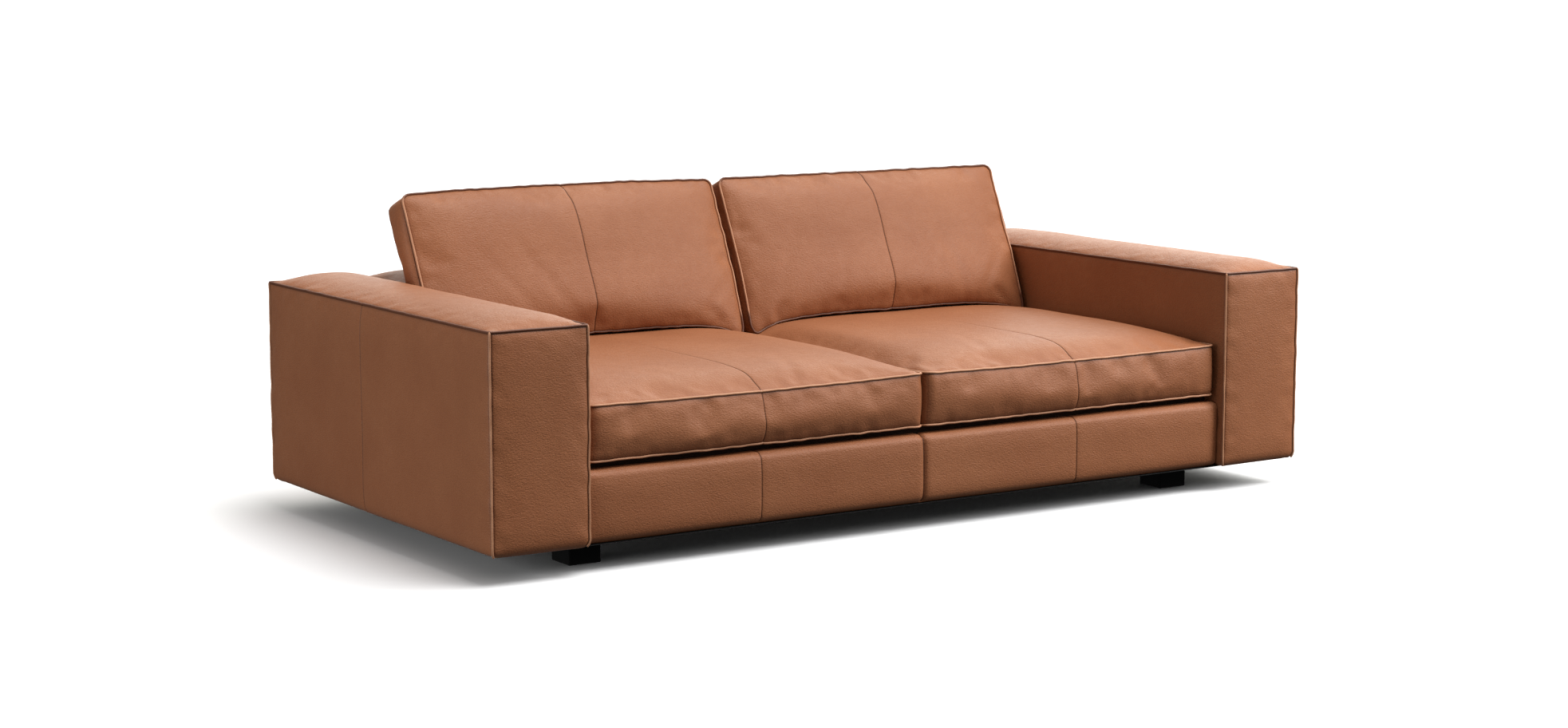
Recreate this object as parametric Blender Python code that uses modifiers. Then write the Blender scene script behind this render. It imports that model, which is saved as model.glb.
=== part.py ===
"""Two-seat sofa: box arms, low back, two loose seat cushions, two loose back cushions, square feet.

Metres, +Z up. The origin is on the floor under the middle of the sofa, whose front faces -Y.
Left and right are those of someone who looks at the front.
"""

import math

import bmesh
import bpy
from mathutils import Matrix, Vector

# Overall sizes
WIDTH = 2.40
DEPTH = 1.19
CUSHION_TOP = 0.806  # top front edge of the back cushions, before it is rounded

# Arms and back
ARM_WIDTH = 0.25
ARM_HEIGHT = 0.576  # to the seam round the top
ARM_CROWN = 0.025
BACK_THICKNESS = 0.21
BACK_HEIGHT = 0.572
BACK_CROWN = 0.024

# Base and feet
FOOT_SIDE = 0.085
FOOT_HEIGHT = 0.0635
FOOT_FROM_ARM = 0.016
FOOT_FROM_END = 0.128  # from the front or the rear of the sofa
FOOT_EDGE = 0.002
BASE_SETBACK = 0.024
RAIL_HEIGHT = 0.151
TIMBER = 0.028
BOARD = 0.015
BLOCK_HEIGHT = 0.060
STRAP_COUNT = 5
STRAP_WIDTH = 0.070
STRAP_THICKNESS = 0.002
STRAP_FROM_END = 0.006
DECK_PAD = 0.030
DUST_COVER = 0.001
DUST_COVER_MARGIN = 0.030

# Upholstery
LEATHER = 0.002
PADDING = 0.018
EDGE_RADIUS = 0.008
RAIL_EDGE_RADIUS = 0.016

# Seat cushions
SEAT_SETBACK = 0.025
SEAT_BORDER = 0.136  # height of the band between the two seams
SEAT_CROWN = 0.042
SEAT_EDGE_RADIUS = 0.014

# Back cushions
BACK_CUSHION_FROM_ARM = 0.021
BACK_CUSHION_SPACING = 0.018
BACK_CUSHION_FOOT = 0.153  # depth of the face that stands on the seat
BACK_CUSHION_THICKNESS = 0.12
BACK_CUSHION_LEAN = math.radians(23.4)
BACK_CUSHION_CROWN = 0.040
BACK_CUSHION_RADIUS = 0.020

# Zips
ZIP_LENGTH = 0.70
ZIP_WIDTH = 0.014
ZIP_ABOVE_SEAM = 0.050

# Bolts
STUD_RADIUS = 0.005
STUD_IN_FOOT = 0.035
STUD_IN_BLOCK = 0.045
ARM_BOLT_RADIUS = 0.004
ARM_BOLT_HEAD_RADIUS = 0.010
ARM_BOLT_HEAD = 0.006
ARM_BOLT_PAST_BOARD = 0.004
ARM_BOLT_FROM_END = 0.26
BORE_CLEARANCE = 0.0006

# Clearances
GAP = 0.0004  # between pieces that touch
CUSHION_GAP = 0.004  # beside a loose cushion
REST_GAP = 0.002  # under a loose cushion
OVERCUT = 0.05  # how far a cutter reaches past what it cuts
ROUND_SIDES = 12

# How a dome rises: each ring's distance in from the last one, and its share of the full height
SEAT_RINGS = ((0.07, 0.5), (0.11, 0.85), (0.14, 1.0))
ARM_RINGS = ((0.03, 0.55), (0.06, 1.0))
BACK_CUSHION_RINGS = ((0.06, 0.55), (0.10, 1.0))

# Planes worked out from the sizes above
HALF_WIDTH = WIDTH / 2
FRONT = -DEPTH / 2
REAR = DEPTH / 2
INNER_X = HALF_WIDTH - ARM_WIDTH  # inner side of each arm
BASE_X = INNER_X - GAP
FRAME_BOTTOM = FOOT_HEIGHT + GAP + DUST_COVER + GAP
RAIL_TOP = FRAME_BOTTOM + RAIL_HEIGHT
SKIN = LEATHER + GAP + PADDING + GAP  # from the outside of the leather to the timber
BASE_FRONT = FRONT + BASE_SETBACK
FRONT_RAIL_Y = BASE_FRONT + SKIN
FRONT_RAIL_REAR = FRONT_RAIL_Y + TIMBER
FRAME_REAR = REAR - SKIN
BACK_FRONT = REAR - BACK_THICKNESS
PANEL_Y = BACK_FRONT + SKIN
STRAP_BOTTOM = RAIL_TOP + GAP
DECK_BOTTOM = STRAP_BOTTOM + STRAP_THICKNESS + GAP
DECK_TOP = DECK_BOTTOM + DECK_PAD
SEAT_BOTTOM = DECK_TOP + REST_GAP
SEAT_SEAM = SEAT_BOTTOM + SEAT_BORDER
BACK_CUSHION_BOTTOM = SEAT_SEAM + SEAT_CROWN + REST_GAP
SIDE_RAIL_INNER = BASE_X - TIMBER
FOOT_X = INNER_X - FOOT_FROM_ARM - FOOT_SIDE / 2
FOOT_Y = FRONT + FOOT_FROM_END + FOOT_SIDE / 2


def empty_scene():
    """Removes what the startup file holds."""
    for obj in list(bpy.data.objects):
        bpy.data.objects.remove(obj, do_unlink=True)


def collection(name):
    """A new collection in the scene."""
    made = bpy.data.collections.new(name)
    bpy.context.scene.collection.children.link(made)
    return made


def material(name, colour, roughness, metallic=0.0):
    """A Principled BSDF material."""
    made = bpy.data.materials.new(name)
    made.use_nodes = True
    shader = made.node_tree.nodes["Principled BSDF"]
    shader.inputs["Base Color"].default_value = (*colour, 1.0)
    shader.inputs["Roughness"].default_value = roughness
    shader.inputs["Metallic"].default_value = metallic
    return made


def add(name, form, finish):
    """An object from a bmesh in world space, with its origin at the middle of its box."""
    corners = [[op(v.co[axis] for v in form.verts) for axis in range(3)] for op in (min, max)]
    middle = (Vector(corners[0]) + Vector(corners[1])) / 2
    bmesh.ops.translate(form, vec=-middle, verts=form.verts)
    mesh = bpy.data.meshes.new(name)
    form.to_mesh(mesh)
    form.free()
    obj = bpy.data.objects.new(name, mesh)
    obj.location = middle
    if finish is None:
        obj.hide_render = True
        obj.display_type = "WIRE"
        CUTTERS.objects.link(obj)
    else:
        mesh.materials.append(finish)
        SOFA.objects.link(obj)
    return obj


def block(low, high):
    """A bmesh box between two corners."""
    low, high = Vector(low), Vector(high)
    form = bmesh.new()
    place = Matrix.Translation((low + high) / 2) @ Matrix.Diagonal((*(high - low), 1.0))
    bmesh.ops.create_cube(form, size=1.0, matrix=place)
    return form


def mirrored(side, x_near, x_far):
    """The lower and the higher x of a span given by its distances from the middle plane."""
    return sorted((side * x_near, side * x_far))


def box(name, low, high, finish, edge=0.0):
    """A box piece, with its edges eased if an edge width is given."""
    obj = add(name, block(low, high), finish)
    if edge:
        bevel = obj.modifiers.new("Eased edges", "BEVEL")
        bevel.width = edge
        bevel.segments = 1
    return obj


def soften(form, radius, segments=2):
    """Rounds every convex edge of a bmesh that turns by more than 30 degrees."""
    sharp = [e for e in form.edges if e.calc_face_angle_signed() > math.radians(30)]
    bmesh.ops.bevel(
        form, geom=sharp, offset=radius, segments=segments, profile=0.5, affect="EDGES"
    )


def dome(form, direction, height, rings):
    """Raises the flat face that points along the direction into a low dome."""
    face = max(form.faces, key=lambda f: f.calc_area() * f.normal.dot(Vector(direction)))
    raised = 0.0
    for inset, share in rings:
        bmesh.ops.inset_region(
            form, faces=[face], thickness=inset, depth=height * share - raised, use_even_offset=True
        )
        raised = height * share


def shrink(form, distance):
    """Moves each face of a bmesh inwards by the distance."""
    form.normal_update()
    moves = [(v, v.normal * distance * v.calc_shell_factor()) for v in form.verts]
    for vert, move in moves:
        vert.co -= move


def leather_shell(obj):
    """Turns a closed form into a skin of leather, which grows inwards."""
    skin = obj.modifiers.new("Leather", "SOLIDIFY")
    skin.thickness = LEATHER
    skin.offset = -1.0
    skin.use_even_offset = True


def cut(obj, cutter):
    """Takes the cutter's shape out of an object."""
    boolean = obj.modifiers.new(cutter.name, "BOOLEAN")
    boolean.operation = "DIFFERENCE"
    boolean.object = cutter


def box_cutter(name, low, high):
    """A box that cuts."""
    return add(name, block(low, high), None)


def bore_cutter(name, start, end, radius):
    """A round bar that cuts, from one point to another."""
    start, end = Vector(start), Vector(end)
    turn = (end - start).to_track_quat("Z", "Y").to_matrix().to_4x4()
    form = bmesh.new()
    bmesh.ops.create_cone(
        form,
        cap_ends=True,
        segments=ROUND_SIDES,
        radius1=radius,
        radius2=radius,
        depth=(end - start).length,
        matrix=Matrix.Translation((start + end) / 2) @ turn,
    )
    return add(name, form, None)


def turned(name, profile, origin, direction, finish):
    """A turned piece from (radius, height) points, listed from the far end down to the origin."""
    form = bmesh.new()
    verts = [form.verts.new((radius, 0.0, height)) for radius, height in profile]
    for first, second in zip(verts, verts[1:]):
        form.edges.new((first, second))
    mesh = bpy.data.meshes.new(name)
    form.to_mesh(mesh)
    form.free()
    mesh.materials.append(finish)
    obj = bpy.data.objects.new(name, mesh)
    obj.location = origin
    obj.rotation_euler = Vector(direction).to_track_quat("Z", "Y").to_euler()
    SOFA.objects.link(obj)
    screw = obj.modifiers.new("Turned", "SCREW")
    screw.steps = screw.render_steps = ROUND_SIDES
    screw.use_merge_vertices = True
    screw.merge_threshold = 0.0001
    return obj


def rails():
    """The timber rectangle of the base and its middle stringer."""
    front = (FRONT_RAIL_Y, FRONT_RAIL_REAR)
    rear = (FRAME_REAR - TIMBER, FRAME_REAR)
    for name, (y_low, y_high) in (("front_rail", front), ("rear_rail", rear)):
        x = BASE_X - SKIN if name == "front_rail" else BASE_X
        box(name, (-x, y_low, FRAME_BOTTOM), (x, y_high, RAIL_TOP), WOOD)
    y_low, y_high = FRONT_RAIL_REAR + GAP, FRAME_REAR - TIMBER - GAP
    half = TIMBER / 2
    box("centre_rail", (-half, y_low, FRAME_BOTTOM), (half, y_high, RAIL_TOP), WOOD)
    sides = {}
    for side, word in SIDES:
        x_low, x_high = mirrored(side, SIDE_RAIL_INNER, BASE_X)
        low, high = (x_low, y_low, FRAME_BOTTOM), (x_high, y_high, RAIL_TOP)
        sides[side] = box(f"{word}_rail", low, high, WOOD)
    return sides


def suspension():
    """Webbing straps across the rails, and the pad over them."""
    strap_x = BASE_X - STRAP_FROM_END
    first, last = FRONT_RAIL_REAR + GAP, PANEL_Y - GAP
    pitch = (last - first) / STRAP_COUNT
    for index in range(STRAP_COUNT):
        y = first + pitch * (index + 0.5)
        low = (-strap_x, y - STRAP_WIDTH / 2, STRAP_BOTTOM)
        high = (strap_x, y + STRAP_WIDTH / 2, STRAP_BOTTOM + STRAP_THICKNESS)
        box(f"seat_strap_{index + 1}", low, high, WEBBING)
    box("deck_pad", (-BASE_X, first, DECK_BOTTOM), (BASE_X, last, DECK_TOP), CLOTH)


def feet(dust_cover):
    """Four square feet, each on a threaded stud that screws up into a corner block."""
    for side, word in SIDES:
        for end, place in ((1, "front"), (-1, "rear")):
            name = f"{place}_{word}"
            x, y = side * FOOT_X, end * FOOT_Y
            half = FOOT_SIDE / 2
            low, high = (x - half, y - half, 0.0), (x + half, y + half, FOOT_HEIGHT)
            foot = box(f"foot_{name}", low, high, FOOT_WOOD, FOOT_EDGE)

            x_low, x_high = mirrored(side, FOOT_X - half, SIDE_RAIL_INNER - GAP)
            rail_face = FRONT_RAIL_REAR + GAP if end > 0 else -(FRAME_REAR - TIMBER - GAP)
            y_low, y_high = mirrored(end, rail_face, FOOT_Y + half)
            low = (x_low, y_low, FRAME_BOTTOM)
            high = (x_high, y_high, FRAME_BOTTOM + BLOCK_HEIGHT)
            corner = box(f"foot_block_{name}", low, high, WOOD)

            bottom, top = FOOT_HEIGHT - STUD_IN_FOOT, FRAME_BOTTOM + STUD_IN_BLOCK
            radius, length = STUD_RADIUS, top - bottom
            point = radius / 4
            profile = (
                (0.0, length),
                (radius - point, length),
                (radius, length - point),
                (radius, point),
                (radius - point, 0.0),
                (0.0, 0.0),
            )
            turned(f"foot_bolt_{name}", profile, (x, y, bottom), (0, 0, 1), STEEL)
            low, high = (x, y, bottom - BORE_CLEARANCE), (x, y, top + BORE_CLEARANCE)
            bore = bore_cutter(f"bore_foot_{name}", low, high, radius + BORE_CLEARANCE)
            for piece in (foot, corner, dust_cover):
                cut(piece, bore)


def front_cover():
    """The padded leather front of the base, open below and behind."""
    reach = RAIL_EDGE_RADIUS + OVERCUT
    low = (-BASE_X, BASE_FRONT, FRAME_BOTTOM - reach)
    high = (BASE_X, FRONT_RAIL_REAR + reach, RAIL_TOP + SKIN)
    form = block(low, high)
    soften(form, RAIL_EDGE_RADIUS)
    pad_form = form.copy()
    shrink(pad_form, LEATHER + GAP)
    cover = add("front_rail_cover", form, LEATHER_FINISH)
    leather_shell(cover)
    padding = add("front_rail_padding", pad_form, FOAM)

    rail_x = BASE_X - SKIN + GAP
    low = (-rail_x, BASE_FRONT + SKIN - GAP, FRAME_BOTTOM - OVERCUT)
    high = (rail_x, FRONT_RAIL_REAR + 2 * reach, RAIL_TOP + GAP)
    cut(padding, box_cutter("front_rail_hollow", low, high))
    behind = box_cutter(
        "behind_front_rail",
        (-WIDTH, FRONT_RAIL_REAR, -OVERCUT),
        (WIDTH, FRONT_RAIL_REAR + 2 * reach, RAIL_TOP + SKIN + OVERCUT),
    )
    for piece in (cover, padding):
        cut(piece, behind)
        cut(piece, BELOW_FRAME)


def arm(side, word, side_rail):
    """A box of boards in padding and leather, bolted to the base through its inner side."""
    x_low, x_high = mirrored(side, INNER_X, HALF_WIDTH)
    form = block((x_low, FRONT, FRAME_BOTTOM - OVERCUT), (x_high, REAR, ARM_HEIGHT))
    soften(form, EDGE_RADIUS)
    dome(form, (0, 0, 1), ARM_CROWN, ARM_RINGS)
    pad_form = form.copy()
    shrink(pad_form, LEATHER + GAP)
    cover = add(f"{word}_arm_cover", form, LEATHER_FINISH)
    leather_shell(cover)
    padding = add(f"{word}_arm_padding", pad_form, FOAM)

    low = Vector((x_low + SKIN, FRONT + SKIN, FRAME_BOTTOM))
    high = Vector((x_high - SKIN, REAR - SKIN, ARM_HEIGHT - SKIN))
    around = Vector((GAP, GAP, GAP))
    below = Vector((0, 0, OVERCUT))
    cut(padding, box_cutter(f"{word}_arm_hollow", low - around - below, high + around))
    for piece in (cover, padding):
        cut(piece, BELOW_FRAME)
    inner_board = arm_boards(side, word, low, high)
    arm_bolts(side, word, (side_rail, cover, padding, inner_board))


def arm_boards(side, word, low, high):
    """The five boards of an arm, inside the box from low to high. Returns the inner one."""
    under_top = high.z - BOARD - GAP
    box(f"{word}_arm_top_board", (low.x, low.y, high.z - BOARD), high, WOOD)
    spans = {"outer": (low.x, low.x + BOARD), "inner": (high.x - BOARD, high.x)}
    if side > 0:
        spans = {"outer": spans["inner"], "inner": spans["outer"]}
    boards = {
        place: box(
            f"{word}_arm_{place}_board", (a, low.y, low.z), (b, high.y, under_top), WOOD
        )
        for place, (a, b) in spans.items()
    }
    between = (low.x + BOARD + GAP, high.x - BOARD - GAP)
    for place, y_low, y_high in (
        ("front", low.y, low.y + BOARD),
        ("rear", high.y - BOARD, high.y),
    ):
        near, far = (between[0], y_low, low.z), (between[1], y_high, under_top)
        box(f"{word}_arm_{place}_board", near, far, WOOD)
    return boards["inner"]


def arm_bolts(side, word, pieces):
    """Two bolts with their heads inside the base, and their bores through all the pieces."""
    head_x = SIDE_RAIL_INNER - GAP
    board_x = INNER_X + SKIN + BOARD
    shaft = board_x + ARM_BOLT_PAST_BOARD - head_x
    z = FRAME_BOTTOM + RAIL_HEIGHT / 2
    profile = (
        (0.0, shaft),
        (ARM_BOLT_RADIUS, shaft),
        (ARM_BOLT_RADIUS, 0.0),
        (ARM_BOLT_HEAD_RADIUS, 0.0),
        (ARM_BOLT_HEAD_RADIUS, -ARM_BOLT_HEAD),
        (0.0, -ARM_BOLT_HEAD),
    )
    for place, y in (("front", FRONT + ARM_BOLT_FROM_END), ("rear", REAR - ARM_BOLT_FROM_END)):
        name = f"{word}_arm_bolt_{place}"
        turned(name, profile, (side * head_x, y, z), (side, 0, 0), STEEL)
        start = (side * (SIDE_RAIL_INNER - TIMBER / 2), y, z)
        end = (side * (board_x + BOARD), y, z)
        bore = bore_cutter(f"bore_{name}", start, end, ARM_BOLT_RADIUS + BORE_CLEARANCE)
        for piece in pieces:
            cut(piece, bore)


def back():
    """The low back that stands on the base between the arms."""
    form = block((-BASE_X, BACK_FRONT, FRAME_BOTTOM - OVERCUT), (BASE_X, REAR, BACK_HEIGHT))
    soften(form, EDGE_RADIUS)
    dome(form, (0, 0, 1), BACK_CROWN, ARM_RINGS)
    pad_form = form.copy()
    shrink(pad_form, LEATHER + GAP)
    cover = add("back_cover", form, LEATHER_FINISH)
    leather_shell(cover)
    padding = add("back_padding", pad_form, FOAM)

    frame_x = BASE_X - SKIN
    frame_top = BACK_HEIGHT - SKIN
    low = (-frame_x - GAP, PANEL_Y - GAP, FRAME_BOTTOM - 2 * OVERCUT)
    high = (frame_x + GAP, FRAME_REAR + GAP, frame_top + GAP)
    cut(padding, box_cutter("back_hollow", low, high))
    low = (-WIDTH, BACK_FRONT - OVERCUT, FRAME_BOTTOM - 2 * OVERCUT)
    over_base = box_cutter("over_base", low, (WIDTH, FRAME_REAR + GAP, DECK_TOP + GAP))
    for piece in (cover, padding):
        cut(piece, over_base)
        cut(piece, BELOW_FRAME)

    low, high = (-frame_x, PANEL_Y, frame_top - TIMBER), (frame_x, FRAME_REAR, frame_top)
    box("back_top_rail", low, high, WOOD)
    low = (-frame_x, PANEL_Y, RAIL_TOP + GAP)
    high = (frame_x, PANEL_Y + BOARD, frame_top - TIMBER - GAP)
    box("back_panel", low, high, WOOD)


def cushion(word, form, zip_y, zip_z):
    """A leather cover with a zip in its rear face, and the core that fills it."""
    core_form = form.copy()
    shrink(core_form, LEATHER + GAP)
    cover = add(f"{word}_cover", form, LEATHER_FINISH)
    leather_shell(cover)
    core = add(f"{word}_core", core_form, FOAM)
    x = cover.location.x
    half = Vector((ZIP_LENGTH / 2, 0, ZIP_WIDTH / 2))
    low, high = Vector((x, zip_y - LEATHER, zip_z)) - half, Vector((x, zip_y, zip_z)) + half
    zip_piece = box(f"{word}_zip", low, high, ZIP_TAPE)
    around = Vector((GAP, OVERCUT, GAP))
    cut(cover, box_cutter(f"{word}_zip_slot", low - around, high + around))

    hold = bpy.data.objects.new(f"{word}_cushion", None)
    hold.location = (x, zip_y, zip_z)
    SOFA.objects.link(hold)
    for piece in (cover, core, zip_piece):
        piece.parent = hold
        piece.matrix_parent_inverse = Matrix.Translation(-hold.location)


def seat_cushion(side, word):
    """A boxed seat cushion with a domed top, which reaches back under the back cushion."""
    x_low, x_high = mirrored(side, CUSHION_GAP / 2, INNER_X - CUSHION_GAP)
    y_low, y_high = FRONT + SEAT_SETBACK, BACK_FRONT - CUSHION_GAP
    form = block((x_low, y_low, SEAT_BOTTOM), (x_high, y_high, SEAT_SEAM))
    soften(form, SEAT_EDGE_RADIUS)
    dome(form, (0, 0, 1), SEAT_CROWN, SEAT_RINGS)
    cushion(f"{word}_seat", form, y_high, SEAT_BOTTOM + SEAT_BORDER / 2)


def back_cushion(side, word):
    """A back cushion that stands on the seat, rests against the back and leans over its top."""
    rear_y = BACK_FRONT - CUSHION_GAP
    front_y = rear_y - BACK_CUSHION_FOOT
    knee_z = BACK_HEIGHT + BACK_CROWN + CUSHION_GAP
    top_y = front_y + (CUSHION_TOP - BACK_CUSHION_BOTTOM) * math.tan(BACK_CUSHION_LEAN)
    top_rear = (
        top_y + BACK_CUSHION_THICKNESS * math.cos(BACK_CUSHION_LEAN),
        CUSHION_TOP - BACK_CUSHION_THICKNESS * math.sin(BACK_CUSHION_LEAN),
    )
    section = (
        (front_y, BACK_CUSHION_BOTTOM),
        (rear_y, BACK_CUSHION_BOTTOM),
        (rear_y, knee_z),
        top_rear,
        (top_y, CUSHION_TOP),
    )
    near = BACK_CUSHION_SPACING / 2
    x_low, x_high = mirrored(side, near, INNER_X - BACK_CUSHION_FROM_ARM)
    form = bmesh.new()
    end = form.faces.new([form.verts.new((x_low, y, z)) for y, z in section])
    swept = bmesh.ops.extrude_face_region(form, geom=[end])["geom"]
    moved = [item for item in swept if isinstance(item, bmesh.types.BMVert)]
    bmesh.ops.translate(form, vec=(x_high - x_low, 0, 0), verts=moved)
    bmesh.ops.recalc_face_normals(form, faces=form.faces)
    soften(form, BACK_CUSHION_RADIUS)
    facing = (0, -math.cos(BACK_CUSHION_LEAN), math.sin(BACK_CUSHION_LEAN))
    dome(form, facing, BACK_CUSHION_CROWN, BACK_CUSHION_RINGS)
    cushion(f"{word}_back", form, rear_y, BACK_CUSHION_BOTTOM + ZIP_ABOVE_SEAM)


def dust_sheet():
    """The black sheet stapled under the whole frame, which the feet are screwed up against."""
    x, y = HALF_WIDTH - DUST_COVER_MARGIN, REAR - DUST_COVER_MARGIN
    bottom = FOOT_HEIGHT + GAP
    return box("dust_cover", (-x, -y, bottom), (x, y, bottom + DUST_COVER), DUST_CLOTH)


empty_scene()
SOFA = collection("sofa")
CUTTERS = collection("cutters")
SIDES = ((-1, "left"), (1, "right"))

LEATHER_FINISH = material("tan leather", (0.30, 0.12, 0.055), 0.45)
WOOD = material("plain timber", (0.62, 0.45, 0.28), 0.7)
FOOT_WOOD = material("black stained wood", (0.010, 0.009, 0.008), 0.45)
FOAM = material("foam", (0.78, 0.74, 0.62), 0.9)
CLOTH = material("deck cloth", (0.10, 0.055, 0.035), 0.9)
DUST_CLOTH = material("black non-woven cloth", (0.012, 0.012, 0.012), 0.95)
WEBBING = material("elastic webbing", (0.06, 0.05, 0.045), 0.85)
ZIP_TAPE = material("zip tape", (0.10, 0.05, 0.03), 0.8)
STEEL = material("zinc-plated steel", (0.62, 0.62, 0.60), 0.35, 1.0)

BELOW_FRAME = box_cutter(
    "below_frame",
    (-WIDTH, -DEPTH, -WIDTH),
    (WIDTH, DEPTH, FRAME_BOTTOM),
)

side_rails = rails()
suspension()
feet(dust_sheet())
front_cover()
back()
for side, word in SIDES:
    arm(side, word, side_rails[side])
    seat_cushion(side, word)
    back_cushion(side, word)
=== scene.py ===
"""Looks of the two-seat leather sofa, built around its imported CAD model.

Metres, +Z up. The origin is on the floor under the middle of the sofa, whose front faces -Y.
Left and right are those of someone who looks at the front.
"""

import itertools
import math

import bpy
import numpy as np
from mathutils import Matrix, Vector
from mathutils.bvhtree import BVHTree


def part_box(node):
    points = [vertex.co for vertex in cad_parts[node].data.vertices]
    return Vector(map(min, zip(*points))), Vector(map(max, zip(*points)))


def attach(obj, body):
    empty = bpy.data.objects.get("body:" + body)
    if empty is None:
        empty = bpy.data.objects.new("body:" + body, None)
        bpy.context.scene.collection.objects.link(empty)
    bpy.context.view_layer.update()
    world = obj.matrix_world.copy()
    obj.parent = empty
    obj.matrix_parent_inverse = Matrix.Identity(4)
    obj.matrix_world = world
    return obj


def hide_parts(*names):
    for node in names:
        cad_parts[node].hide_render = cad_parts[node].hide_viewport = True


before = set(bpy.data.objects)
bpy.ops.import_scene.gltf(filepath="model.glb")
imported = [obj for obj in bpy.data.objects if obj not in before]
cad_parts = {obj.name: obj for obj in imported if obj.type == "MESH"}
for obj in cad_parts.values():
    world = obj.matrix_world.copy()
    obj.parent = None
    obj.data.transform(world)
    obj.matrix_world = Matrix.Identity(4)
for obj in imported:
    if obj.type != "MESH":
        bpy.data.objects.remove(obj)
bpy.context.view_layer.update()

SIDES = ((-1, "left"), (1, "right"))
X, Y, Z = 0, 1, 2
LOW, HIGH = 0, -1

# Mesh spacing
ARM_STEP = 0.010
CUSHION_STEP = 0.008
CLOTH_STEP = 0.020
SEAM_LOOPS = (0.0, 0.0009, 0.0018, 0.0032, 0.0060)  # beside a seam across a panel
ARC_LOOPS = (0.0, 0.42, 0.73, 1.0)  # in from an edge, as shares of its radius

# Leather panels
SEAM_RADIUS = 0.006  # where two panels are sewn at a corner
SOFT_RADIUS = 0.022  # where one panel turns a corner
SWELL_POWER = 2.4
PIPING_RADIUS = 0.0027
PIPING_PROUD = 0.0021
GUTTER_DEPTH = 0.0014  # beside a piping
GUTTER_WIDTH = 0.0035
SEAM_DIP, SEAM_DIP_WIDTH = 0.0010, 0.0060
SEAM_CUT, SEAM_CUT_WIDTH = 0.0013, 0.0012
# Painted shade: darker leather along each seam groove and in the gutter beside a piping
SEAM_SHADE_WIDTH = 0.0012
GUTTER_SHADE = 0.9  # painted shade in the gutter beside a piping, on the border side below its ridge
TOP_GUTTER_SHADE = 0.2  # the share of that painted shade on the upper panel
GUTTER_PLACE, GUTTER_SHADE_PLACE, GUTTER_SHADE_WIDTH = 0.0040, 0.0038, 0.0018  # in from an edge
PUCKER, PUCKER_REACH, PUCKER_LENGTH, PUCKER_PLACE = 0.0010, 0.026, 0.050, 0.016
WAVE, WAVE_LENGTH = 0.0008, 0.30
WAVE_REACH = 0.05  # from an edge to where the waves are full
WAVE_AT_EDGE = 0.35
RIPPLES = 7

# Arms, back and front rail
ARM_CROWN, ARM_CROWN_REACH = 0.026, 0.125
ARM_TOP_SEAM, BACK_TOP_SEAM = 0.576, 0.572  # heights above the floor
BACK_CROWN, BACK_CROWN_REACH = 0.023, 0.1
FACE_BULGE = 0.0070
FACE_REACH = 0.090
RAIL_FACE_REACH = 0.06
BACK_FACE_REACH = 0.2
INNER_BULGE = 0.0008
RAIL_TOP_RADIUS = 0.016
RAIL_CORNER = 0.003
RAIL_OVERLAP = 0.0002  # into the pad behind it
RAIL_GROOVE, RAIL_GROOVE_WIDTH = 0.0050, 0.0060  # where its two halves meet
ARM_PANEL_SEAM = 0.648  # along the outer side of an arm, from its front
SKIRT_THICKNESS = 0.0200
SKIRT_EDGE = 0.004
LEDGE_GAP = 0.0004  # between the back's lower edge and the deck
LEDGE_STEP = 0.0008

# Seat cushions
SEAT_SEAM_ABOVE = 0.136  # its upper seam, from its underside
SEAT_CROWN = 0.036
SEAT_CROWN_REACH = (0.22, 0.36)
SEAT_SHIFT = {"left": (0.012, 0.007), "right": (0.007, -0.003)}  # of its ends, in X
SEAT_CROWN_MOST = 0.0425
SEAT_BORDER_BULGE, SEAT_BORDER_REACH = 0.006, 0.06
SEAT_PUCKER, SEAT_PUCKER_LENGTH, SEAT_PUCKER_REACH = 0.0016, 0.09, 0.04
SEAT_LIP = 0.005  # how far the lower front seam is drawn up and back
SEAT_LIP_WIDTH = 0.05
SEAM_FADE = 0.55  # where the middle seam sinks into the crown, as a share of the seat's depth
SEAM_FADE_START = 0.1
SEAM_FADED = 0.85  # how much of it is lost
SEAT_CORNER = 0.022
SEAT_SPARE = (0.0005, 0.0015)  # how far its left and its right end may swell
SEAT_REAR_SPARE = 0.001
SEAT_SQUASH = 0.012  # over this height the crown is pressed flat towards its highest

# Back cushions
BACK_CUSHION_TOP = {"left": 0.813, "right": 0.808}
BACK_CUSHION_DROOP = {"left": 0.015, "right": 0.008}  # from the middle of its top to the corners
BACK_CUSHION_FOOT = 0.153
BACK_CUSHION_THICKNESS = 0.120
BACK_CUSHION_LEAN = math.radians(23.4)
BACK_CUSHION_CROWN = 0.052
BACK_CUSHION_SIDE, BACK_CUSHION_INNER_SIDE = 0.016, 0.003
BACK_CUSHION_CORNER = 0.022
BACK_CUSHION_SPARE = {"left": (0.018, 0.010), "right": (0.002, 0.019)}  # as SEAT_SPARE
BACK_CUSHION_REAR_SPARE = 0.002
BACK_CUSHION_SLIP = 0.007  # how far its foot stands to the right of its top
BACK_CUSHION_REAR_RADIUS = 0.050
KNEE_ABOVE_BACK = 0.004
KNEE_SOFT = 0.07  # the bend over the back is eased over this share of the height, each way
SAG_SHARE = 0.4  # the lowest part of a back cushion that settles on its seat
HELD_SHARE = 0.45
CUSHION_GAP = 0.004
CONTACT = 0.0010  # between a back cushion and the seat it stands on
SURFACE_INSET = 0.020  # the seat's height beyond this inset is read at the inset

# Cushions as leather bags
PRESSURE = 0.12
CLOTH_FRAMES = 16
CLOTH_MASS = 0.3
CLOTH_STIFFNESS = 0.5
SEAM_SHRINK = 0.006
CLOTH_LIMIT = 0.024
FOLD_RIM, FOLD_RIM_PLACE = 0.5, 1.9  # its height in fold depths, and its place in widths

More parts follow.
